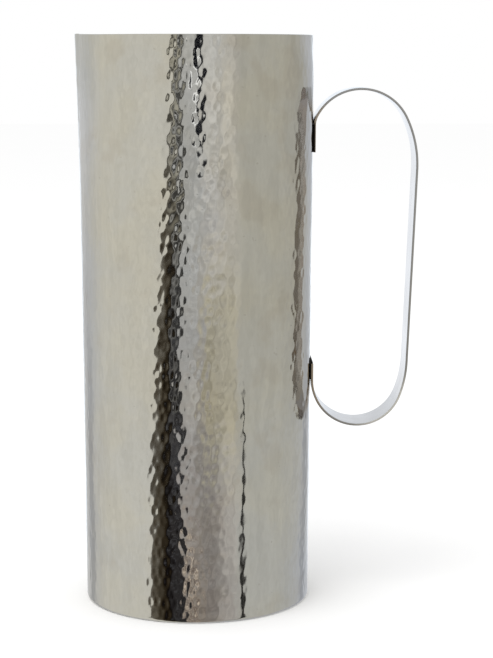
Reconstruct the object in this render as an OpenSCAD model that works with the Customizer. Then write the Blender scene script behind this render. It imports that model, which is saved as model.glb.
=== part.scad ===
// Tall water pitcher: a tapered wall rolled from sheet, a pressed base and a bent strap handle.
// Millimetres. +Z is up, the handle is at +X, and the origin is the middle of the resting face.

/* [Wall] */
// Height of the rim above the table
body_h = 256; // [210:1:310]
// Outside diameter at the rim
rim_d = 105; // [86:0.5:130]
// Outside diameter at the foot, before its edge is rounded
foot_d = 102; // [84:0.5:124]
// Thickness of the wall's sheet
wall_t = 1; // [0.7:0.05:1.6]
// Inside radius of the foot's turned-in edge
foot_in_r = 0.6; // [0.3:0.1:3]
// Width of the weld along the upright seam, behind the handle
seam_w = 1.2; // [0.6:0.1:3]

/* [Pouring lip] */
// Height of the lip, from its lowest point to the rim
lip_h = 65; // [30:1:90]
// How far the lip stands out from the wall at the rim
lip_out = 1.4; // [0.8:0.1:6]
// Outside radius of the lip's trough
lip_r = 26; // [14:1:40]

/* [Base] */
// Thickness of the base's sheet
base_t = 1; // [0.7:0.05:1.6]
// Width of the ring weld between the foot's edge and the base
base_weld_w = 1; // [0.6:0.1:3]
// Width of the base's flat ring, which stands on the table
rest_w = 6; // [3:0.5:12]
// Width of the sloping step inside that ring
step_w = 3; // [2:0.5:8]
// How far the middle of the base is pressed up off the table
base_rise = 1.8; // [1:0.1:4]

/* [Handle strap] */
// Width of the strap
strap_w = 22; // [14:0.5:30]
// Thickness of the strap
strap_t = 1; // [0.8:0.05:2]
// Depth of the upper foot's end below the rim
foot_drop = 51.7; // [45:0.1:65]
// Length of the upper foot, which lies along the wall
upper_foot_l = 12; // [8:0.5:16]
// Radius of the bend that lifts the strap off the wall
lift_r = 9; // [5:0.5:14]
// Turn of that bend, in degrees
lift_turn = 28; // [15:1:40]
// Radius of the top bend, to the middle of the strap
top_r = 22.4; // [18:0.2:28]
// Turn of the top bend, in degrees
top_turn = 126; // [110:1:135]
// Radius of the two shoulders that lead into the grip
shoulder_r = 49; // [30:1:70]
// Length of the straight grip
grip_l = 86.8; // [70:0.2:110]
// Lean of the grip towards the wall on the way down, in degrees
grip_lean = 2.1; // [0:0.1:5]
// Turn of the shoulder below the grip, in degrees
low_shoulder_turn = 18.7; // [10:0.1:30]
// Length of the lower foot, which lies along the wall
lower_foot_l = 7.5; // [5:0.5:14]

/* [Braze] */
// Thickness of the braze where the strap lies closest to the wall
braze_gap = 0.15; // [0.1:0.05:0.4]
// Width of the braze under each foot
braze_w = 16; // [8:0.5:22]
// Length of the braze's tip past the lower foot's end
tip_l = 2.3; // [1:0.1:4]

/* [Hidden] */
$fn = 256;

// Straight steps in each drawn bend, and the length by which a cut runs past the faces that it cuts
bend_n = 24;
past = 1;
function arc(r, from, to) =
    [for (j = [0 : bend_n]) let (a = from + (to - from) * j / bend_n) r * [cos(a), sin(a)]];

// The wall's lean from upright, and its outside radius at a height
taper = atan((rim_d - foot_d) / 2 / body_h);
function wall_r(z) = foot_d / 2 + z * tan(taper);

// Outside radius of the foot's edge, and the radius where it meets the table and the wall's sheet ends
foot_r = foot_in_r + wall_t;
foot_edge_r = foot_d / 2 + foot_r * (tan(taper) - 1 / cos(taper));
base_r = foot_edge_r - base_weld_w;

// The lip leans out from the wall at its lowest point
lip_z = body_h - lip_h;
lip_lean = atan((rim_d / 2 + lip_out - wall_r(lip_z)) / lip_h);

// The strap starts at the upper foot's end. Each run is a straight length, then a bend's radius and turn.
upper_foot_z = (body_h - foot_drop) / cos(taper);
shoulder_turn = 180 + grip_lean - lift_turn - top_turn;
runs_to_bottom = [
    [upper_foot_l, lift_r, lift_turn],
    [0, top_r, top_turn],
    [0, shoulder_r, shoulder_turn],
    [grip_l, shoulder_r, low_shoulder_turn],
];

// Where a run leads in a turn from heading h, which is 0 straight up: out from the wall and up along it.
// A side moves it off the strap's middle, towards the bend's centre.
function run_step(run, h, turn, side = 0) =
    run[0] * [sin(h), cos(h)]
    + run[1] * [cos(h) - cos(h + turn), sin(h + turn) - sin(h)]
    + side * [cos(h + turn), -sin(h + turn)];

// Heading and place at the start of run i
function heading(runs, i) = i == 0 ? 0 : heading(runs, i - 1) + runs[i - 1][2];
function place(runs, i) =
    i == 0 ? [0, 0] : place(runs, i - 1) + run_step(runs[i - 1], heading(runs, i - 1), runs[i - 1][2]);

// The bottom bend takes the radius that brings the strap back to the wall
bottom_turn = 180 - grip_lean - low_shoulder_turn;
bottom_r = place(runs_to_bottom, len(runs_to_bottom))[0] / (1 - cos(bottom_turn));
runs_to_foot = concat(runs_to_bottom, [[0, bottom_r, bottom_turn]]);
lower_foot_z = upper_foot_z + place(runs_to_foot, len(runs_to_foot))[1];
strap_runs = concat(runs_to_foot, [[lower_foot_l, 0, 0]]);

// Turns at which a run is drawn: its bend in even steps, or the end of its straight length alone
function drawn_turns(run) =
    run[2] == 0 ? [0] : [for (j = [run[0] > 0 ? 0 : 1 : bend_n]) run[2] * j / bend_n];

// One face of the strap, seen from the side, at an offset from its middle
function strap_face(side) = concat(
    [[side, 0]],
    [for (i = [0 : len(strap_runs) - 1], turn = drawn_turns(strap_runs[i]))
        place(strap_runs, i) + run_step(strap_runs[i], heading(strap_runs, i), turn, side)]
);
function reversed(list) = [for (i = [len(list) - 1 : -1 : 0]) list[i]];

// Section of the pitcher's outside, or of its inside where inset is the sheet's thickness
module side_section(inset, top_z) {
    foot_round = [for (p = arc(foot_r - inset, -90, -taper)) [foot_edge_r, foot_r] + p];
    top_x = wall_r(top_z) - inset / cos(taper);
    polygon(concat([[0, inset]], foot_round, [[top_x, top_z], [0, top_z]]));
}

// Round trough that leans out through the wall and makes the pouring lip, opposite the handle
module lip_trough(inset) {
    translate([-wall_r(lip_z), 0, lip_z])
        rotate([0, -lip_lean, 0])
            translate([lip_r, 0, -lip_h / 2])
                linear_extrude(lip_h * 2)
                    polygon(arc(lip_r - inset, 90, 270));
}

module outside() {
    rotate_extrude()
        side_section(0, body_h);
    intersection() {
        lip_trough(0);
        cylinder(d = rim_d * 2, h = body_h);
    }
}

module inside() {
    rotate_extrude()
        side_section(wall_t, body_h + past);
    lip_trough(wall_t);
    translate([0, 0, -past])
        cylinder(r = foot_edge_r, h = wall_t + 2 * past);
}

module shell() {
    difference() {
        outside();
        inside();
    }
}

// Upright slot through the wall on the handle's side, which the seam's weld fills
module seam_slot() {
    translate([0, -seam_w / 2, -past])
        cube([rim_d, seam_w, body_h + 2 * past]);
}

// Frame on the wall's line behind the handle: X out of the wall, Z up along it
module on_wall() {
    translate([foot_d / 2, 0, 0])
        rotate([0, taper, 0])
            children();
}

// Filler between a foot of the strap and the round wall, from height z up, with a tip past its end
module braze(z, length, tip) {
    difference() {
        on_wall()
            rotate([90, 0, 0])
                linear_extrude(braze_w, center = true)
                    polygon([
                        [-braze_w / 2, z],
                        [braze_gap, z],
                        [braze_gap, z + length],
                        [braze_gap + (tip > 0 ? strap_t : 0), z + length],
                        [braze_gap, z + length + tip],
                        [-braze_w / 2, z + length + tip],
                    ]);
        outside();
    }
}

module body_wall() {
    color([0.72, 0.71, 0.68])
        difference() {
            shell();
            seam_slot();
        }
}

module wall_seam() {
    color([0.68, 0.67, 0.64])
        intersection() {
            shell();
            seam_slot();
        }
}

module base_pan() {
    flat_r = base_r - rest_w;
    dish_r = flat_r - step_w;
    color([0.70, 0.69, 0.67])
        rotate_extrude()
            polygon([
                [0, base_rise],
                [dish_r, base_rise],
                [flat_r, 0],
                [base_r, 0],
                [base_r, base_t],
                [flat_r, base_t],
                [dish_r, base_rise + base_t],
                [0, base_rise + base_t],
            ]);
}

module base_weld() {
    color([0.62, 0.61, 0.59])
        rotate_extrude()
            polygon([
                [base_r, 0],
                [foot_edge_r, 0],
                [foot_edge_r, wall_t],
                [base_r, base_t],
            ]);
}

module handle_strap() {
    color([0.88, 0.88, 0.86])
        on_wall()
            translate([braze_gap + strap_t / 2, 0, upper_foot_z])
                rotate([90, 0, 0])
                    linear_extrude(strap_w, center = true)
                        polygon(concat(strap_face(-strap_t / 2), reversed(strap_face(strap_t / 2))));
}

module upper_braze() {
    color([0.25, 0.23, 0.21])
        braze(upper_foot_z, upper_foot_l, 0);
}

module lower_braze() {
    color([0.25, 0.23, 0.21])
        braze(lower_foot_z, lower_foot_l, tip_l);
}

body_wall();
wall_seam();
base_pan();
base_weld();
handle_strap();
upper_braze();
lower_braze();
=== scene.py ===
import math

import bpy
import numpy as np
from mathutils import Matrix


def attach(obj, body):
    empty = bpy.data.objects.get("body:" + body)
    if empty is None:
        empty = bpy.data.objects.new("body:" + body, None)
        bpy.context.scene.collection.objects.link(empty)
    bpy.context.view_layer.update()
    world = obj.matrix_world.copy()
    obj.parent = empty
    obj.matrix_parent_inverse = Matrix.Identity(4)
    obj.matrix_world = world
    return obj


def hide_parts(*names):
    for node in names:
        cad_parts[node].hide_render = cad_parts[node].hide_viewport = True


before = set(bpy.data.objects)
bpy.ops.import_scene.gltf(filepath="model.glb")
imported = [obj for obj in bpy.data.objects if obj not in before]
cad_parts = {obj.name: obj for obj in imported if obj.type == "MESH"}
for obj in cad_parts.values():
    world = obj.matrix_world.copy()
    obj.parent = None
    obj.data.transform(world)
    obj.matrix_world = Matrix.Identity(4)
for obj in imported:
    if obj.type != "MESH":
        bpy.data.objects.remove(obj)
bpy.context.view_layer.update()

# WALL
# The wall is one stainless sheet, hammered all over, rolled into a tapered tube and closed by an upright
# weld behind the handle. Its lip is drawn out of the rim, its foot edge is turned in, and it is polished.
MM = 0.001  # shapes are worked out in millimetres, and meshes and materials are in metres
BODY_H = 256.0
RIM_R = 52.5
FOOT_R = 51.0
SHEET_T = 1.0
FOOT_BEND = 1.6
SEAM_W = 1.2
taper = math.atan((RIM_R - FOOT_R) / BODY_H)
foot_edge_r = FOOT_R + FOOT_BEND * (math.tan(taper) - 1 / math.cos(taper))


def smooth(x, low, high):
    """Goes from 0 at low to 1 at high along the cubic that starts and ends level."""
    t = np.clip((x - low) / (high - low), 0.0, 1.0)
    return t * t * (3.0 - 2.0 * t)


def wall_radius(z):
    """Outside radius of the wall at height z: the foot's radius, growing with the taper."""
    return FOOT_R + z * math.tan(taper)


def arc_from_seam(angle):
    """Length of arc from the seam, the shorter way round. Angles run from the seam, behind the handle."""
    return (math.pi - np.abs(angle - math.pi)) * RIM_R


LIP_H = 65.0
LIP_OUT = 1.4
LIP_R = 26.0
LIP_BLEND = 0.3
LIP_FACING = 0.5  # cosine of the angle from the lip's middle past which there is only the wall
lip_z = BODY_H - LIP_H
lip_lean = math.atan((RIM_R + LIP_OUT - wall_radius(lip_z)) / LIP_H)


def lip_rise(angle, z, inset):
    """How far the lip stands out of the wall. A round trough leans out through the wall opposite the
    handle. Along the ray at an angle, its far side lies at c cos a + sqrt(R^2 - c^2 sin^2 a), where c is
    the distance to its centre. A rounded maximum takes that or the wall, whichever is further out."""
    trough_r = LIP_R - inset
    centre = wall_radius(lip_z) + (z - lip_z) * math.tan(lip_lean) - LIP_R / math.cos(lip_lean)
    a = angle - math.pi
    far = centre * np.cos(a) + np.sqrt(np.maximum(trough_r ** 2 - (centre * np.sin(a)) ** 2, 0.0))
    past_wall = np.where(np.cos(a) > LIP_FACING, far - (wall_radius(z) - inset / math.cos(taper)), -RIM_R)
    return 0.5 * (past_wall + np.sqrt(past_wall ** 2 + LIP_BLEND ** 2))


LIP_UP = 0.55
LIP_UP_TURN = 0.42
LIP_UP_FROM = 190.0


def lip_height(angle, z):
    """How far the drawn lip lifts the rim: most at its middle, falling off as exp(-(turn / width)^2) round
    the rim and smoothly to nothing down the wall."""
    return LIP_UP * np.exp(-((angle - math.pi) / LIP_UP_TURN) ** 2) * smooth(z, LIP_UP_FROM, BODY_H)


BLOWS_ROUND = 92
BLOW_ROW = 4.6
BLOW_REACH = 2.15
BLOW_STRETCH = 1.45
BLOW_DEPTH = 0.082
BLOW_STRAY = 0.26
DEPTH_SPREAD, REACH_SPREAD = (0.45, 1.4), (0.8, 1.15)
ROWS_BELOW, ROWS_SPARE = 2, 6
# Four sides took heavier blows than those between them, and one strip took lighter ones
HEAVY_SIDES, HEAVY_AT = 4, math.radians(263.0)
LIGHT_AT, LIGHT_TURN = math.radians(293.0), math.radians(9.0)
blow_step = 2 * math.pi * (RIM_R + FOOT_R) / 2 / BLOWS_ROUND
blow_rows = int(BODY_H / BLOW_ROW) + ROWS_SPARE
rng = np.random.default_rng(11)
blow_shift = rng.uniform(-BLOW_STRAY, BLOW_STRAY, (2, blow_rows, BLOWS_ROUND))
blow_depth = BLOW_DEPTH * rng.uniform(*DEPTH_SPREAD, (blow_rows, BLOWS_ROUND))
blow_angle = np.arange(BLOWS_ROUND) * 2 * math.pi / BLOWS_ROUND
blow_depth *= 0.88 + 0.42 * np.cos(HEAVY_SIDES * (blow_angle - HEAVY_AT))
blow_depth *= 1 - 0.45 * np.exp(-((blow_angle - LIGHT_AT) / LIGHT_TURN) ** 2)
blow_reach = BLOW_REACH * rng.uniform(*REACH_SPREAD, (blow_rows, BLOWS_ROUND))
# Slow waves of the sheet, each by its turns round the wall and its length up it
WAVES = ((7, 9.0), (-5, 7.0), (11, -14.0), (3, 17.0))
WAVE_DEPTH = 0.02
wave_starts = rng.uniform(0.0, 2 * math.pi, len(WAVES))
# Where the marks come in off the seam and the foot, and die out under the rim
SEAM_FADE = (1.0, 3.0)
FOOT_FADE = (0.4, 1.8)
RIM_FADE = (BODY_H - 1.6, BODY_H - 0.3)


def hammering(angle, z):
    """Depth of the hammer marks. Blows lie on rows, every second row shifted by half a step, each moved a
    little at random. A blow is a soft dent, taller than wide: its depth times (1 - d^2 / reach^2)^2 within
    its reach. The marks are the sum over the twelve nearest dents, and slow waves run under them."""
    along, row = angle / (2 * math.pi) * BLOWS_ROUND, z / BLOW_ROW
    marks = np.zeros_like(along)
    for step_up in (-1, 0, 1, 2):
        j = np.floor(row).astype(int) + step_up
        shift = 0.5 * (j % 2)
        for step_round in (-1, 0, 1):
            i = np.rint(along - shift).astype(int) + step_round
            k, m = np.clip(j + ROWS_BELOW, 0, blow_rows - 1), i % BLOWS_ROUND
            across = (along - i - shift - blow_shift[0, k, m]) * blow_step
            up = (row - j - blow_shift[1, k, m]) * BLOW_ROW / BLOW_STRETCH
            within = np.maximum(1 - (across ** 2 + up ** 2) / blow_reach[k, m] ** 2, 0.0)
            marks -= blow_depth[k, m] * within ** 2
    waves = sum(np.sin(turns * angle + z / length + start)
                for (turns, length), start in zip(WAVES, wave_starts))
    keep = smooth(arc_from_seam(angle), *SEAM_FADE) * (1 - smooth(z, *RIM_FADE)) * smooth(z, *FOOT_FADE)
    return keep * (marks + WAVE_DEPTH * waves)


FLAT_ARC = 17.0
FLAT_END = 37.0
FLAT_OUT = 1.3
FLAT_LOW_SHARE = 0.62
FLAT_FROM, FLAT_FULL, FLAT_UNTIL = (15.0, 70.0), (140.0, 200.0), (238.0, 254.0)


def fullness(angle, z):
    """How far the wall stands out of the round beside the seam. The sheet's ends stay flat when it is
    rolled, so its arc rises smoothly from the seam to a shoulder and falls smoothly back to the round,
    over the handle's height and most at its top."""
    arc = arc_from_seam(angle)
    over = smooth(z, *FLAT_FROM) * (1 - smooth(z, *FLAT_UNTIL))
    over = over * (FLAT_LOW_SHARE + (1 - FLAT_LOW_SHARE) * smooth(z, *FLAT_FULL))
    return FLAT_OUT * over * smooth(arc, 0.0, FLAT_ARC) * (1 - smooth(arc, FLAT_ARC, FLAT_END))


def arc_part(centre, radius, start, stop, count, turn=1.0):
    """Part of a sheet's section: points on an arc, with the normal along its radius, turned inward at -1."""
    a = np.linspace(start, stop, count)
    out = np.stack([np.cos(a), np.sin(a)])
    return np.concatenate([np.array(centre)[:, None] + radius * out, turn * out])


def line_part(start, stop, normal, count):
    """Part of a sheet's section: evenly spaced points on a line, with one normal, less the two ends."""
    t = np.linspace(0.0, 1.0, count + 2)[1:-1]
    points = np.array(start)[:, None] * (1 - t) + np.array(stop)[:, None] * t
    return np.concatenate([points, np.repeat(np.array(normal)[:, None], count, 1)])


def set_out(name, data):
    """A new object for a mesh, a lamp or a camera, put into the scene at the origin."""
    thing = bpy.data.objects.new(name, data)
    bpy.context.scene.collection.objects.link(thing)
    return thing


def skin(name, points, normals):
    """A closed piece from rings of points in millimetres: each ring joins its own ends, neighbouring rings
    are joined by quads, and the first and last ring are closed by a face. Normals are the true ones."""
    rings, around = points.shape[:2]
    index = np.arange(rings * around).reshape(rings, around)
    quads = np.stack([index[:-1], index[1:], np.roll(index[1:], -1, 1), np.roll(index[:-1], -1, 1)], -1)
    quads = quads.reshape(-1, 4)
    corners = np.concatenate([quads.ravel(), index[0], index[-1][::-1]])
    starts = np.concatenate([np.arange(len(quads)) * 4, quads.size + np.array([0, around])])
    mesh = bpy.data.meshes.new(name)
    mesh.vertices.add(rings * around)
    mesh.vertices.foreach_set("co", (points.reshape(-1) * MM).astype(np.float32))
    mesh.loops.add(len(corners))
    mesh.loops.foreach_set("vertex_index", corners.astype(np.int32))
    mesh.polygons.add(len(starts))
    mesh.polygons.foreach_set("loop_start", starts.astype(np.int32))
    mesh.update(calc_edges=True)
    mesh.validate()
    mesh.shade_smooth()
    corner_normals = normals.reshape(-1, 3)[corners]
    first_face, last_face = slice(quads.size, quads.size + around), slice(-around, None)
    for ring, face in ((points[0], first_face), (points[-1][::-1], last_face)):
        face_normal = np.cross(ring, np.roll(ring, -1, 0)).sum(0)
        corner_normals[face] = face_normal / np.linalg.norm(face_normal)
    mesh.normals_split_custom_set(corner_normals)
    return set_out(name, mesh)


def mark_points(piece, name, values):
    """Gives each point of a piece a value, which its material reads by name."""
    mark = piece.data.attributes.new(name, "FLOAT", "POINT")
    mark.data.foreach_set("value", values.astype(np.float32))


RIM_ROUND = 0.35
FOOT_POINTS, EDGE_POINTS = 7, 4
SHEET_COLUMNS = 432
OUTSIDE_ROWS, INSIDE_ROWS = 196, 13
wall_out = np.array([math.cos(taper), -math.sin(taper)])
wall_top = wall_radius(BODY_H)
foot_centre = (foot_edge_r, FOOT_BEND)
outer_rim = (wall_top - RIM_ROUND, BODY_H - RIM_ROUND)
inner_rim = (wall_top - SHEET_T + RIM_ROUND, BODY_H - RIM_ROUND)
foot_bend = arc_part(foot_centre, FOOT_BEND, -math.pi / 2, -taper, FOOT_POINTS)
rim_out = arc_part(outer_rim, RIM_ROUND, -taper, math.pi / 2, EDGE_POINTS)
rim_in = arc_part(inner_rim, RIM_ROUND, math.pi / 2, math.pi - taper, EDGE_POINTS)
foot_inside = arc_part(foot_centre, FOOT_BEND - SHEET_T, -taper, -math.pi / 2, EDGE_POINTS, -1.0)
outside = line_part(foot_bend[:2, -1], rim_out[:2, 0], wall_out, OUTSIDE_ROWS)
inside = line_part(rim_in[:2, -1], foot_inside[:2, 0], -wall_out, INSIDE_ROWS)
section = np.concatenate([foot_bend, outside, rim_out, rim_in, inside, foot_inside], 1)
is_inner = np.arange(section.shape[1]) >= FOOT_POINTS + OUTSIDE_ROWS + EDGE_POINTS


def sheet_lift(angle, z, inner):
    """How far the sheet's face stands out of the plain cone: the lip and the shoulders beside the seam on
    both faces, and the hammer marks on the outside."""
    lip = np.where(inner, lip_rise(angle, z, SHEET_T), lip_rise(angle, z, 0.0))
    return lip + fullness(angle, z) + np.where(inner, 0.0, 1.0) * hammering(angle, z)


SLOPE_STEP = 0.02


def wall_surface():
    """Rings of points and normals of the sheet. A ring is the section at one angle, from one side of the
    seam round to the other. Each point moves out by the lift, and its normal tilts by the lift's slopes."""
    r, z, normal_r, normal_z = (row[None, :] for row in section)
    inner = is_inner[None, :]
    seam_angle = np.arcsin(SEAM_W / 2 / r)
    turn = np.linspace(0.0, 1.0, SHEET_COLUMNS + 1)[:, None]
    angle = seam_angle + turn * (2 * math.pi - 2 * seam_angle)
    z = np.broadcast_to(z, angle.shape)
    turn_step = SLOPE_STEP / RIM_R
    rise_round = sheet_lift(angle + turn_step, z, inner) - sheet_lift(angle - turn_step, z, inner)
    rise_up = sheet_lift(angle, z + SLOPE_STEP, inner) - sheet_lift(angle, z - SLOPE_STEP, inner)
    slope_round, slope_up = rise_round / (2 * SLOPE_STEP), rise_up / (2 * SLOPE_STEP)
    side = np.where(inner, -1.0, 1.0)
    radius = r + sheet_lift(angle, z, inner)
    tilt_z, tilt_round = normal_z - side * slope_up * np.abs(normal_r), -side * slope_round
    points = np.stack([radius * np.cos(angle), radius * np.sin(angle), z + lip_height(angle, z)], -1)
    normals = np.stack([normal_r * np.cos(angle) - tilt_round * np.sin(angle),
                        normal_r * np.sin(angle) + tilt_round * np.cos(angle),
                        np.broadcast_to(tilt_z, angle.shape)], -1)
    return points, normals / np.linalg.norm(normals, axis=-1, keepdims=True)


hammered_wall = skin("hammered_wall", *wall_surface())
mark_points(hammered_wall, "inside", np.tile(is_inner, SHEET_COLUMNS + 1))


class Shade:
    """A value in a shader: one socket of its tree, or the bare tree. Sums and products add Math nodes."""

    def __init__(self, tree, socket=None):
        self.tree, self.socket = tree, socket

    def node(self, kind, settings=None, inputs=None, out=0):
        """Adds any node: its settings first, then its sockets' values or links. Gives one output of it,
        several, or none."""
        node = self.tree.nodes.new("ShaderNode" + kind)
        for name, value in (settings or {}).items():
            if name == "stops":
                while len(node.color_ramp.elements) < len(value):
                    node.color_ramp.elements.new(1.0)
                for element, (place, colour) in zip(node.color_ramp.elements, value):
                    element.position, element.color = place, (*colour, 1.0)
            else:
                setattr(node, name, value)
        for name, value in (inputs or {}).items():
            if isinstance(value, Shade):
                self.tree.links.new(value.socket, node.inputs[name])
            else:
                node.inputs[name].default_value = value
        if out is None:
            return None
        if isinstance(out, tuple):
            return [Shade(self.tree, node.outputs[name]) for name in out]
        return Shade(self.tree, node.outputs[out])

    def math(self, operation, first, second=0.0):
        """Adds a Math node for an operation on one or two values."""
        return self.node("Math", {"operation": operation}, {0: first, 1: second})

    def __add__(self, other):
        return self.math("ADD", self, other)

    def __sub__(self, other):
        return self.math("SUBTRACT", self, other)

    def __rsub__(self, other):
        return self.math("SUBTRACT", other, self)

    def __mul__(self, other):
        return self.math("MULTIPLY", self, other)

    def __truediv__(self, other):
        return self.math("DIVIDE", self, other)

    def __rtruediv__(self, other):
        return self.math("DIVIDE", other, self)

    def __abs__(self):
        return self.math("ABSOLUTE", self)

    __radd__ = __add__
    __rmul__ = __mul__

    def step(self, low, high, first=0.0, last=1.0):
        """Goes smoothly from first, where the value is low, to last, where it is high."""
        return self.node("MapRange", {"interpolation_type": "SMOOTHSTEP"},
                         {"Value": self, "From Min": low, "From Max": high, "To Min": first, "To Max": last})

    def mix(self, first, second):
        """Blends two colours by this value."""
        return self.node("Mix", {"data_type": "RGBA"}, {0: self, 6: first, 7: second}, 2)

    def noise(self, place, scale, detail=3.0, roughness=0.5):
        """Cloudy noise at a place."""
        return self.node("TexNoise", None,
                         {"Vector": place, "Scale": scale, "Detail": detail, "Roughness": roughness})

    def split(self):
        """The three measures of a place."""
        return self.node("SeparateXYZ", None, {0: self}, ("X", "Y", "Z"))

    def stretched(self, x, y, z):
        """The place scaled along each axis."""
        return self.node("VectorMath", {"operation": "MULTIPLY"}, {0: self, 1: (x, y, z)})

    def from_axis(self):
        """The place's distance from the upright axis: its length with the height left out."""
        return self.node("VectorMath", {"operation": "LENGTH"}, {0: self.stretched(1.0, 1.0, 0.0)}, 1)

    def dimmed(self, share):
        """The colour times a value."""
        return self.node("VectorMath", {"operation": "SCALE"}, {0: self, "Scale": share})

    def bump(self, strength, distance, normal=None):
        """The normal tilted by this value as a height, on top of another normal if there is one."""
        links = {"Height": self, "Strength": strength, "Distance": distance}
        return self.node("Bump", None, links if normal is None else {**links, "Normal": normal})


def rgb(red, green, blue):
    """A colour with no transparency."""
    return (red, green, blue, 1.0)


def new_material(name):
    """A material with nothing in it, as a bare tree, with the place on the piece."""
    material = bpy.data.materials.new(name)
    material.use_nodes = True
    material.node_tree.nodes.clear()
    tree = Shade(material.node_tree)
    return material, tree, tree.node("TexCoord", None, None, "Object")


def show(tree, shader):
    """Joins a shader to the material's output."""
    tree.node("OutputMaterial", None, {"Surface": shader}, None)


def finish_metal(tree, colour, roughness, normal, metallic=1.0):
    """Makes a metal of its colour, roughness and normal and joins it to the material's output."""
    show(tree, tree.node("BsdfPrincipled", None, {"Base Color": colour, "Roughness": roughness,
                                                  "Metallic": metallic, "Normal": normal}))


WARM_STEEL, COOL_STEEL = rgb(0.642, 0.626, 0.572), rgb(0.622, 0.619, 0.598)
STAINED_STEEL = rgb(0.560, 0.530, 0.475)
WIPED_STEEL = rgb(0.46, 0.45, 0.42)
SPECKED_STEEL = rgb(0.40, 0.37, 0.32)
# Near black, a painted shade for the crevice under the handle's upper foot
PAINTED_CREVICE_SHADE = rgb(0.035, 0.030, 0.027)
CREVICE_SHADE_SHARE = 0.9
# Limits of the painted crevice shade on the wall under the handle's upper foot: out to the handle's side, to
# each side of the seam, and up
WALL_SHADE_OUT, WALL_SHADE_ASIDE = (0.030, 0.040), (0.0110, 0.0085)
WALL_SHADE_FROM, WALL_SHADE_UNTIL = (0.2025, 0.2045), (0.2270, 0.2195)
POLISH = 0.045
INSIDE_SATIN = 0.40
INSIDE_DULL = 0.45


def crevice_shade_band(height):
    """1 at the heights behind the upper foot, where the steel is darkened with painted shade for the crevice
    between strap and wall.
    """
    return height.step(*WALL_SHADE_FROM) * height.step(*WALL_SHADE_UNTIL)


hammered_steel, tree, place = new_material("hammered_steel")
cloud = tree.noise(place, 27.0, 5.0, 0.6)
stain = tree.noise(place, 61.0, 3.0, 0.45)
streaks = tree.noise(place.stretched(620.0, 620.0, 190.0), 1.0)
wiped = tree.noise(place.stretched(260.0, 260.0, 18.0), 1.0, 3.0, 0.6)
fine = tree.noise(place, 2600.0, 2.0)
specks = tree.noise(place, 430.0, 1.0).step(0.74, 0.80)
tint = cloud.step(0.38, 0.62).mix(WARM_STEEL, COOL_STEEL)
tint = (stain.step(0.55, 0.68) * 0.45).mix(tint, STAINED_STEEL)
tint = (streaks.step(0.35, 0.65) * 0.10).mix(tint, WIPED_STEEL)
tint = (specks * 0.25).mix(tint, SPECKED_STEEL)
gloss = POLISH + cloud.step(0.35, 0.75) * 0.03 + wiped * 0.03 + specks * 0.12
within = tree.node("Attribute", {"attribute_name": "inside"}, None, "Fac")
out, breadth, up = place.split()
# Painted shade: under the handle's upper foot, the outside of the wall is darkened nearly to black for the
# crevice between strap and wall
behind_foot = out.step(*WALL_SHADE_OUT) * abs(breadth).step(*WALL_SHADE_ASIDE)
crevice_shade = behind_foot * crevice_shade_band(up) * (1 - within)
tint = (crevice_shade * CREVICE_SHADE_SHARE).mix(tint, PAINTED_CREVICE_SHADE)
gloss = gloss + within * (INSIDE_SATIN + wiped * 0.12) + crevice_shade * 0.35
reverse_marks = tree.node("TexVoronoi", {"feature": "SMOOTH_F1"},
                          {"Vector": place.stretched(1.0, 1.0, 0.7), "Scale": 270.0, "Smoothness": 1.0})
relief = (reverse_marks * within).bump(0.25, 0.0006, (wiped * 0.6 + fine * 0.4).bump(0.012, 0.0002))
finish_metal(tree, tint, gloss, relief, 1.0 - within * INSIDE_DULL)
hammered_wall.data.materials.append(hammered_steel)
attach(hammered_wall, "root")
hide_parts("body_wall")

# SEAM AND BASE WELDS
# Two welds in the same steel: one closes the wall's upright seam and one ring joins the foot to the base.
# Both are ground flush, so they show as narrow dull lines with fine scratches across and a straw tint.
WELD_GREY, WELD_STRAW = rgb(0.56, 0.545, 0.50), rgb(0.47, 0.42, 0.34)
GROUND = 0.22
ground_weld, tree, place = new_material("ground_weld")
scratch = tree.noise(place.stretched(1.0, 1.0, 9.0), 420.0, 4.0, 0.7)
beads = tree.noise(place, 300.0, 2.0)
tint = beads.step(0.35, 0.7).mix(WELD_GREY, WELD_STRAW)
height = place.split()[2]
under_face = place.from_axis() - height * math.tan(taper)
within = under_face.step((FOOT_R - 0.4) * MM, (FOOT_R - 0.8) * MM)
# Painted shade: the seam under the handle's upper foot is darkened like the wall beside it, for the crevice
# between strap and wall
crevice_shade = crevice_shade_band(height) * (1 - within)
tint = (crevice_shade * CREVICE_SHADE_SHARE).mix(tint, PAINTED_CREVICE_SHADE)
gloss = GROUND + scratch * 0.22 + within * 0.25 + crevice_shade * 0.2
relief = (scratch + beads * 0.5).bump(0.25, 0.0002)
finish_metal(tree, tint, gloss, relief, 1.0 - within * INSIDE_DULL)
for node in ("wall_seam", "base_weld"):
    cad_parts[node].material_slots[0].material = ground_weld

# BASE
# The base is a disc pressed from the same sheet. A flat ring stands on the table, and the middle is
# pressed up inside it with soft corners. It is polished on a lathe, which leaves rings.
BASE_T = 1.0
BASE_WELD_W = 1.0
REST_W = 6.0
STEP_W = 3.0
BASE_RISE = 1.8
EDGE_ROUND = 0.12
CENTRE_R = 0.4
PAN_AROUND = 192
base_r = foot_edge_r - BASE_WELD_W
flat_r = base_r - REST_W
dish_r = flat_r - STEP_W
step_in, step_out = dish_r - 1.0, flat_r + 1.0


def pressed(r):
    """Height of the base's underside: level at the rise in the middle, then the smooth step down to 0."""
    return BASE_RISE * (1 - smooth(r, step_in, step_out))


def pan_face(r, top):
    """One face of the base from its radii: the pressed height, or that and the sheet's thickness on top.
    The normal is the slope's, up on top and down below."""
    slope = (pressed(r + SLOPE_STEP / 2) - pressed(r - SLOPE_STEP / 2)) / SLOPE_STEP
    up = 1.0 if top else -1.0
    length = np.hypot(1.0, slope)
    return np.stack([r, pressed(r) + (BASE_T if top else 0.0), -up * slope / length, up / length])


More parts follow.
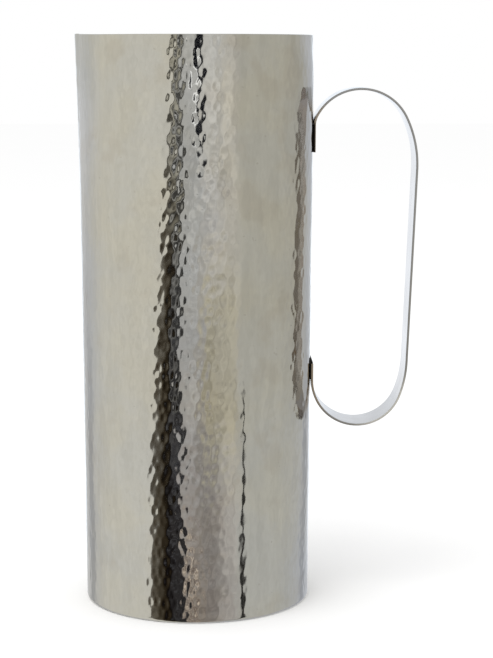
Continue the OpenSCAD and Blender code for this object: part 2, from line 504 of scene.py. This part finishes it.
def pan_surface():
    """Rings of points and normals of the base: its section, out along the top, round the edge and back
    below, turned about the axis."""
    edge_r = base_r - EDGE_ROUND
    radii = np.concatenate([np.linspace(CENTRE_R, step_in - 0.5, 8), np.linspace(step_in, step_out, 17),
                            np.linspace(step_out + 0.6, edge_r, 4)])
    upper = arc_part((edge_r, BASE_T - EDGE_ROUND), EDGE_ROUND, math.pi / 2, 0.0, EDGE_POINTS)
    lower = arc_part((edge_r, EDGE_ROUND), EDGE_ROUND, 0.0, -math.pi / 2, EDGE_POINTS)
    r, z, normal_r, normal_z = np.concatenate(
        [pan_face(radii[:-1], True), upper, lower, pan_face(radii[::-1][1:], False)], 1)[:, :, None]
    angle = np.linspace(0.0, 2 * math.pi, PAN_AROUND, endpoint=False)[None, :]
    points = np.stack([r * np.cos(angle), r * np.sin(angle), z + 0 * angle], -1)
    normals = np.stack([normal_r * np.cos(angle), normal_r * np.sin(angle), normal_z + 0 * angle], -1)
    return points, normals


pressed_base = skin("pressed_base", *pan_surface())
PAN_BRIGHT, PAN_GREY, PAN_SCUFFED = rgb(0.63, 0.62, 0.585), rgb(0.57, 0.56, 0.535), rgb(0.36, 0.35, 0.33)
pressed_steel, tree, place = new_material("pressed_steel")
across = place.from_axis()
rings = tree.node("TexNoise", {"noise_dimensions": "1D"},
                  {"W": across, "Scale": 900.0, "Detail": 4.0, "Roughness": 0.7})
cloud = tree.noise(place, 60.0, 4.0)
scuff = tree.noise(place, 700.0, 3.0, 0.7).step(0.55, 0.7) * across.step(0.0385, 0.041)
tint = (scuff * 0.5).mix(cloud.mix(PAN_BRIGHT, PAN_GREY), PAN_SCUFFED)
finish_metal(tree, tint, 0.14 + rings * 0.16 + scuff * 0.2, (rings + scuff * 0.5).bump(0.2, 0.0002))
pressed_base.data.materials.append(pressed_steel)
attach(pressed_base, "root")
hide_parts("base_pan")

# HANDLE
# The handle is one flat strap of bright steel, bent into an open loop, with a foot at each end that lies
# along the wall over the seam. Its cut edges are broken with a file and stay duller than its faces.
STRAP_W = 22.0
STRAP_T = 1.0
STRAP_EDGE = 0.32
BRAZE_GAP = 0.15
FOOT_DROP = 51.7
UPPER_FOOT_L, LOWER_FOOT_L = 12.0, 7.5
LIFT_R, LIFT_TURN = 9.0, 28.0
TOP_R, TOP_TURN = 22.4, 126.0
SHOULDER_R, LOW_TURN = 49.0, 18.7
GRIP_L, GRIP_LEAN = 86.8, 2.1
# Each run is a straight length and the radius and turn of the bend after it
strap_runs = [
    (UPPER_FOOT_L, LIFT_R, LIFT_TURN),
    (0.0, TOP_R, TOP_TURN),
    (0.0, SHOULDER_R, 180.0 + GRIP_LEAN - LIFT_TURN - TOP_TURN),
    (GRIP_L, SHOULDER_R, LOW_TURN),
    (0.0, None, 180.0 - GRIP_LEAN - LOW_TURN),
    (LOWER_FOOT_L, 0.0, 0.0),
]
LINE_STEP = 3.0
BEND_STEPS = 28
CORNER_POINTS = 6


def run_points(start, heading, straight, radius, turn):
    """Points of a run and their headings: a straight length along the heading, then a bend to the side by
    r (cos h - cos(h + t)) and r (sin(h + t) - sin h). Heading 0 is straight up along the wall."""
    ahead = np.array([math.sin(heading), math.cos(heading)])
    steps = np.linspace(0.0, 1.0, 1 + max(2, int(straight / LINE_STEP)))[1:] * straight
    line = start + (steps if straight else steps[:0])[:, None] * ahead
    t = np.linspace(0.0, 1.0, 2 + int(abs(turn) * BEND_STEPS))[1:] * turn
    turned = heading + (t if turn else t[:0])
    aside = np.stack([np.cos(heading) - np.cos(turned), np.sin(turned) - np.sin(heading)], -1)
    bend = start + straight * ahead + radius * aside
    return np.concatenate([line, bend]), np.concatenate([np.full(len(line), heading), turned])


def strap_line():
    """The strap's middle line in the plane of the handle, as points and headings, run after run. The bottom
    bend, which has no radius given, takes the one that brings it back to the wall."""
    points, headings = np.zeros((1, 2)), np.zeros(1)
    for straight, radius, degrees in strap_runs:
        turn = math.radians(degrees)
        if radius is None:
            radius = points[-1, 0] / (1 - math.cos(turn))
        line, turned = run_points(points[-1], headings[-1], straight, radius, turn)
        points, headings = np.concatenate([points, line]), np.concatenate([headings, turned])
    return points, headings


def strap_surface():
    """Rings of points and normals of the strap: a flat section with rounded corners, carried along the
    middle line, square to it, and set on the wall's lean."""
    line, heading = strap_line()
    corner = np.linspace(0.0, math.pi / 2, CORNER_POINTS)
    turns = np.concatenate([corner + k * math.pi / 2 for k in range(4)])
    wide = np.array([1, 1, -1, -1]).repeat(CORNER_POINTS) * (STRAP_W / 2 - STRAP_EDGE)
    thick = np.array([1, -1, -1, 1]).repeat(CORNER_POINTS) * (STRAP_T / 2 - STRAP_EDGE)
    side, breadth = thick + STRAP_EDGE * np.cos(turns), -(wide + STRAP_EDGE * np.sin(turns))
    facing = np.stack([np.cos(heading), -np.sin(heading)], -1)
    flat = line[:, None, :] + side[None, :, None] * facing[:, None, :]
    flat_normal = np.cos(turns)[None, :, None] * facing[:, None, :]
    lean = np.array([[math.cos(taper), -math.sin(taper)], [math.sin(taper), math.cos(taper)]])
    foot = np.array([BRAZE_GAP + STRAP_T / 2, (BODY_H - FOOT_DROP) / math.cos(taper)])
    set_on = (flat + foot) @ lean + np.array([FOOT_R, 0.0])
    set_normal = flat_normal @ lean
    breadth = np.broadcast_to(breadth[None, :], set_on.shape[:2])
    breadth_normal = np.broadcast_to(-np.sin(turns)[None, :], set_on.shape[:2])
    points = np.stack([set_on[..., 0], breadth, set_on[..., 1]], -1)
    normals = np.stack([set_normal[..., 0], breadth_normal, set_normal[..., 1]], -1)
    return points, normals


strap = skin("handle_loop", *strap_surface())
faces_inward = np.array([1, 0, 0, 1]).repeat(CORNER_POINTS)
mark_points(strap, "inward", np.tile(faces_inward, len(strap.data.vertices) // len(faces_inward)))
STRAP_BRIGHT, STRAP_GREY = rgb(0.66, 0.640, 0.608), rgb(0.60, 0.580, 0.550)
STRAP_HANDLED = rgb(0.50, 0.475, 0.45)
# Painted reflection and shade: the faces turned into the loop get a browner tone than the same steel
# outside, and a darker one round the bottom bend
PAINTED_INNER_REFLECTION, PAINTED_INNER_SHADE = rgb(0.59, 0.52, 0.46), rgb(0.36, 0.33, 0.30)
# The grey is the filed edges' own tone; the near white is a painted highlight on the edge round the outer
# part of the bottom bend
FILED_EDGE, PAINTED_EDGE_HIGHLIGHT = rgb(0.43, 0.43, 0.435), rgb(0.93, 0.93, 0.93)
# The straw is heat tint from brazing near the wall; the near black beside it is painted shade for the
# crevice along the feet's edges at the wall
HEAT_STRAW, STRAP_CREVICE_SHADE = rgb(0.46, 0.35, 0.235), rgb(0.030, 0.026, 0.023)
# Limits of the strap's tones, each from where a tone starts to where it is full
EDGE_FROM, EDGE_FULL = STRAP_W / 2 * MM - 0.00038, STRAP_W / 2 * MM - 0.00022
LOW_BEND_UP = (0.100, 0.088)
HIGHLIGHT_OUT, HIGHLIGHT_UP = (0.068, 0.082), (0.108, 0.092)
STRAW_OUT = (0.0600, 0.0532)
STRAP_SHADE_ASIDE, STRAP_SHADE_OFF_WALL = (0.0094, 0.0104), ((FOOT_R + 1.05) * MM, (FOOT_R + 0.70) * MM)
STRAP_SHADE_FROM, STRAP_SHADE_UNTIL = (0.190, 0.196), (0.2190, 0.2160)
strap_steel, tree, place = new_material("strap_steel")
out, breadth, up = place.split()
from_middle = abs(breadth)
cut_edge = from_middle.step(EDGE_FROM, EDGE_FULL)
drawn = tree.noise(place.stretched(0.6, 6.0, 0.6), 300.0, 4.0, 0.65)
cloud = tree.noise(place, 45.0)
inward = tree.node("Attribute", {"attribute_name": "inward"}, None, "Fac")
# Painted reflection: the faces turned into the loop take the browner tone; painted shade: they are darker
# still round the bottom bend
tint = inward.mix(cloud.mix(STRAP_BRIGHT, STRAP_GREY), PAINTED_INNER_REFLECTION)
tint = (inward * up.step(*LOW_BEND_UP) * 0.85).mix(tint, PAINTED_INNER_SHADE)
handled = tree.noise(place.stretched(1.0, 2.2, 0.55), 105.0, 4.0, 0.6).step(0.42, 0.68)
tint = (handled * 0.32 + drawn * 0.2).mix(tint, STRAP_HANDLED)
# Painted highlight: the cut edge turns near white round the outer part of the bottom bend
edge_highlight = out.step(*HIGHLIGHT_OUT) * up.step(*HIGHLIGHT_UP)
tint = cut_edge.mix(tint, edge_highlight.mix(FILED_EDGE, PAINTED_EDGE_HIGHLIGHT))
straw = out.step(*STRAW_OUT) * (0.35 + cloud * 0.5)
tint = straw.mix(tint, HEAT_STRAW)
# Painted shade: round the upper foot, the strap's edges next to the wall are darkened nearly to black for
# the crevice between strap and wall
off_wall = out - up * math.tan(taper)
crevice_shade = from_middle.step(*STRAP_SHADE_ASIDE) * off_wall.step(*STRAP_SHADE_OFF_WALL)
crevice_shade = crevice_shade * up.step(*STRAP_SHADE_FROM) * up.step(*STRAP_SHADE_UNTIL)
tint = crevice_shade.mix(tint, STRAP_CREVICE_SHADE)
gloss = 0.07 + drawn * 0.09 + handled * 0.09 + cut_edge * 0.2 + crevice_shade * 0.3
bent_by_hand = tree.noise(place, 34.0, 2.0).bump(0.3, 0.0012)
finish_metal(tree, tint, gloss, (drawn * (1 - cut_edge)).bump(0.03, 0.0002, bent_by_hand))
strap.data.materials.append(strap_steel)
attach(strap, "root")
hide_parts("handle_strap")

# BRAZES
# Filler metal runs under each foot of the strap and holds it to the wall. Heat has left it dark and
# crusted, with a dull brassy metal where the crust has flaked.
CRUST_BLACK, BRAZE_BRASS = rgb(0.014, 0.012, 0.010), rgb(0.075, 0.058, 0.038)
braze_metal, tree, place = new_material("braze_metal")
crust = tree.noise(place, 900.0, 4.0, 0.65)
flakes = crust.step(0.64, 0.74)
tint = flakes.mix(CRUST_BLACK, BRAZE_BRASS)
finish_metal(tree, tint, 0.75 - flakes * 0.2, crust.bump(0.5, 0.0003), flakes * 0.6)
for node in ("upper_braze", "lower_braze"):
    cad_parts[node].material_slots[0].material = braze_metal

# TABLE
# A wide matt white table, which the pitcher stands on and which takes its faint shadow. Mirror images leave
# it out and show the screens, which reach down past it.
TABLE_HALF = 6
floor_mesh = bpy.data.meshes.new("table")
table_corners = [(x * TABLE_HALF, y * TABLE_HALF, 0) for x, y in ((-1, -1), (1, -1), (1, 1), (-1, 1))]
floor_mesh.from_pydata(table_corners, [], [(0, 1, 2, 3)])
floor = set_out("table", floor_mesh)
table_white, tree, place = new_material("table_white")
tint = tree.noise(place, 3.0).mix(rgb(0.985, 0.985, 0.985), rgb(0.975, 0.975, 0.975))
show(tree, tree.node("BsdfDiffuse", None, {"Color": tint}))
floor_mesh.materials.append(table_white)
floor.visible_glossy = False

# SCREENS
# What the polished wall mirrors, as one glowing ring about the pitcher that only mirror images show: pale
# screens to the left and right, two cards before them, a dark gap between that widens towards the table,
# thin black stands, and a white wall behind.
SCREEN_R = 0.30
SCREEN_LOW, SCREEN_HIGH = -1.6, 1.3
SCREEN_AROUND = 128


def screen_ring():
    """The screens' surface: two rings of points on a cylinder about the pitcher, joined by quads."""
    turn = np.linspace(0.0, 2 * math.pi, SCREEN_AROUND, endpoint=False)
    ring = SCREEN_R * np.stack([np.cos(turn), np.sin(turn)], -1)
    low_high = [np.column_stack([ring, np.full(SCREEN_AROUND, z)]) for z in (SCREEN_LOW, SCREEN_HIGH)]
    index = np.arange(SCREEN_AROUND)
    after = np.roll(index, -1)
    quads = np.stack([after, index, index + SCREEN_AROUND, after + SCREEN_AROUND], -1)
    return np.concatenate(low_high), quads


screen_mesh = bpy.data.meshes.new("screens")
corners, quads = screen_ring()
screen_mesh.from_pydata(corners.tolist(), [], quads.tolist())
screen_mesh.shade_smooth()
screens = set_out("screens", screen_mesh)
screens.visible_camera = False
screens.visible_diffuse = False
screens.visible_transmission = False
screens.visible_shadow = False
# The screens are drawn by azimuth in degrees, from the camera's side to the right, and by level, as on a
# wider ring. These spreads bring them onto this one.
AZIMUTH_SPREAD = 1.055
LEVEL_ZERO, LEVEL_SPREAD = 71.7, 0.710
PATTERN_SPREAD = 2.5
screen_light, tree, place = new_material("screen_light")
east, north, up = place.split()
azimuth = tree.math("ARCTAN2", east, north * -1.0) * (math.degrees(1.0) * AZIMUTH_SPREAD)
to_side = abs(azimuth)
level = (up / MM - LEVEL_ZERO) / LEVEL_SPREAD
place = place.stretched(PATTERN_SPREAD, PATTERN_SPREAD, PATTERN_SPREAD)


def between(value, low, high, soft):
    """1 where a value lies between two limits and 0 outside, with a soft edge centred on each limit."""
    return value.step(low - soft, low + soft) * value.step(high + soft, high - soft)


def graded(high, upper, low, lower):
    """A colour that is the upper one above a high level and goes smoothly to the lower one at a low one."""
    return level.step(high, low).mix(rgb(*upper), rgb(*lower))


left_screen = graded(150.0, (0.775, 0.755, 0.684), -150.0, (0.770, 0.757, 0.705))
left_back = graded(180.0, (0.700, 0.705, 0.715), 70.0, (0.63, 0.635, 0.645))
left_back = level.step(190.0, 245.0).mix(left_back, rgb(0.645, 0.650, 0.640))
left_screen = azimuth.step(-138.0, -95.0).mix(left_back, left_screen)
cool_card = graded(95.0, (0.572, 0.576, 0.574), -253.0, (0.37, 0.325, 0.305))
warm_near = graded(310.0, (0.760, 0.755, 0.735), -280.0, (0.29, 0.26, 0.245))
warm_far = graded(95.0, (0.672, 0.645, 0.585), -280.0, (0.49, 0.46, 0.44))
warm_card = azimuth.step(13.5, 33.0).mix(warm_near, warm_far)
right_screen = graded(60.0, (0.575, 0.560, 0.497), -120.0, (0.604, 0.602, 0.566))
right_back = graded(90.0, (0.520, 0.508, 0.462), -119.0, (0.585, 0.590, 0.580))
right_screen = azimuth.step(87.0, 112.0).mix(right_screen, right_back)
right_screen = azimuth.step(104.0, 140.0).mix(right_screen, rgb(0.60, 0.62, 0.665))
studio = azimuth.step(-18.0, -15.0).mix(left_screen, cool_card)
studio = azimuth.step(2.0, 10.0).mix(studio, warm_card)
studio = azimuth.step(35.0, 46.0).mix(studio, right_screen)
lit_patch = between(level, -75.0, 68.0, 40.0) * between(azimuth, 6.5, 39.5, 4.5)
studio = (lit_patch * 0.6).mix(studio, rgb(0.56, 0.52, 0.385))
dim_fold = between(azimuth, 8.0, 17.0, 4.0) * between(level, -100.0, 50.0, 30.0)
studio = (dim_fold * 0.2).mix(studio, rgb(0.27, 0.23, 0.11))
card_edge = between(azimuth, 0.5, 6.5, 1.5) * level.step(140.0, 60.0)
studio = (card_edge * 0.38).mix(studio, rgb(0.24, 0.21, 0.17))

# The dark gap: its tones from left to right, at the top and at the foot, and its two sides by azimuth
GAP_TOP_TONES = [
    (0.0, (0.05, 0.045, 0.035)), (0.18, (0.06, 0.055, 0.045)), (0.26, (0.54, 0.520, 0.45)),
    (0.49, (0.46, 0.445, 0.38)), (0.56, (0.12, 0.115, 0.10)), (0.63, (0.13, 0.125, 0.115)),
    (0.72, (0.53, 0.53, 0.515)), (0.80, (0.07, 0.07, 0.065)), (1.0, (0.045, 0.043, 0.042))]
GAP_FOOT_TONES = [
    (0.0, (0.17, 0.158, 0.135)), (0.22, (0.095, 0.082, 0.062)), (0.42, (0.036, 0.027, 0.016)),
    (0.58, (0.004, 0.003, 0.003)), (0.66, (0.030, 0.028, 0.030)), (0.82, (0.036, 0.034, 0.036)),
    (1.0, (0.012, 0.011, 0.012))]
gap_left = -21.7 - 26.0 * level.step(283.0, -210.0) - 2.0 * between(level, 20.0, 130.0, 40.0)
gap_right = level.step(170.0, 0.0, -12.0, -15.3) + level.step(-90.0, -175.0, 0.0, 4.2)
across_gap = (azimuth - gap_left) / (gap_right - gap_left)
gap_top, gap_foot = (tree.node("ValToRGB", {"stops": tones}, {0: across_gap})
                     for tones in (GAP_TOP_TONES, GAP_FOOT_TONES))
right_half = across_gap.step(0.55, 0.66)
gap_depth = right_half * level.step(215.0, -140.0) + (1 - right_half) * level.step(220.0, 70.0)
mottle = 0.4 + tree.noise(place.stretched(1.0, 1.0, 0.6), 26.0, 3.0, 0.6) * 1.2
gap_tones = gap_depth.mix(gap_top, gap_foot).dimmed(mottle)
studio = (between(across_gap, 0.0, 1.0, 0.03) * level.step(1100.0, 800.0)).mix(studio, gap_tones)

# Small lights: a faint shimmer in the gap's right half, and warm glints among dark specks at its foot
shimmer = tree.noise(place, 31.0).step(0.53, 0.60) * between(across_gap, 0.62, 0.97, 0.05)
studio = (shimmer * level.step(120.0, -20.0) * 0.55).mix(studio, rgb(0.105, 0.107, 0.120))
sparkle = between(azimuth, -10.5, 0.5, 1.5) * level.step(-105.0, -190.0)
glints = tree.noise(place, 37.0, 2.0).step(0.53, 0.58) * sparkle
studio = (glints * 0.6).mix(studio, rgb(1.30, 1.13, 0.94))
specks = tree.noise(place, 47.0, 2.0).step(0.46, 0.51) * sparkle
studio = (specks * 0.8).mix(studio, rgb(0.13, 0.092, 0.070))

# The stands, by their azimuth and half their breadth, the front one with a bright side
FRONT_STAND, SIDE_STAND = 4.3, 46.2
stand_shine = between(azimuth, -0.3, 1.0, 0.3) * between(level, 188.0, 243.0, 10.0)
studio = stand_shine.mix(studio, rgb(1.45, 1.47, 1.5))
stand_half = level.step(150.0, 283.0, 1.7, 3.3)
front_stand = abs(azimuth - FRONT_STAND).step(stand_half + 0.3, stand_half - 0.3) * level.step(152.0, 172.0)
studio = front_stand.mix(studio, rgb(0.010, 0.011, 0.016))
side_half = level.step(-60.0, -190.0, 1.0, 2.2)
side_stand = abs(azimuth - SIDE_STAND).step(side_half + 0.2, side_half - 0.2) * level.step(-12.0, -39.0)
studio = side_stand.mix(studio, rgb(0.012, 0.011, 0.010))

# The white wall behind, with a grey gap on each side of it, and the unevenness of the whole ring
rear_gap = between(to_side, 130.0, 146.0, 5.0) * level.step(110.0, -120.0)
studio = (rear_gap * 0.42).mix(studio, rgb(0.21, 0.22, 0.25))
white_wall = to_side.step(155.0, 169.0) * between(level, -175.0, 380.0, 45.0)
studio = white_wall.mix(studio, rgb(1.03, 1.10, 1.19))
pebbled = between(azimuth, -8.0, 40.0, 3.0) * 0.9
unevenness = (tree.noise(place, 13.0, 3.0, 0.55) - 0.5) * (0.32 + pebbled) + 1.0
show(tree, tree.node("Emission", None, {"Color": studio.dimmed(unevenness), "Strength": 1.0}))
screen_light.cycles.emission_sampling = "NONE"
screen_mesh.materials.append(screen_light)

# ROOM AND LAMP
# A white room gives even light from all round, and one round soft lamp above on the left gives the faint
# shadow. Mirror images that pass the screens' ends show a greyer room.
WHITE = rgb(1.0, 1.0, 1.0)
ROOM_FLOOR, ROOM_CEILING = rgb(0.62, 0.62, 0.61), rgb(0.88, 0.88, 0.88)
world = bpy.data.worlds.new("studio")
bpy.context.scene.world = world
world.use_nodes = True
world.node_tree.nodes.clear()
room = Shade(world.node_tree)
seen, mirrored = room.node("LightPath", None, None, ("Is Camera Ray", "Is Glossy Ray"))
upward = room.node("TexCoord", None, None, "Generated").split()[2].step(-0.3, 0.3)
light = mirrored.mix(WHITE, upward.mix(ROOM_FLOOR, ROOM_CEILING))
background = room.node("Background", None, {"Color": seen.mix(light, WHITE), "Strength": 1.0})
room.node("OutputWorld", None, {"Surface": background}, None)
world.cycles.sampling_method = "NONE"

lamp = bpy.data.lights.new("soft_lamp", "AREA")
lamp.shape = "DISK"
lamp.size = 1.2
lamp.energy = 9.0
lamp_at = set_out("soft_lamp", lamp)
lamp_at.location = (-0.5, -0.7, 1.5)
lamp_at.rotation_euler = (math.radians(25.0), math.radians(-18.0), 0.0)
lamp_at.visible_glossy = False

# CAMERA
# The camera stands in front of the pitcher, nearly level with its rim, with a long lens. It is turned a
# little down and to the right.
CAMERA_DOWN, CAMERA_RIGHT = 0.1441, 0.0190
camera = bpy.data.cameras.new("camera")
camera.sensor_width = 36.0
camera.lens = 103.6
camera_at = set_out("camera", camera)
camera_at.location = (0.0065, -0.8551, 0.2475)
camera_at.rotation_euler = (math.pi / 2 - CAMERA_DOWN, 0.0, -CAMERA_RIGHT)
bpy.context.scene.camera = camera_at
bpy.context.scene.view_settings.view_transform = "Standard"
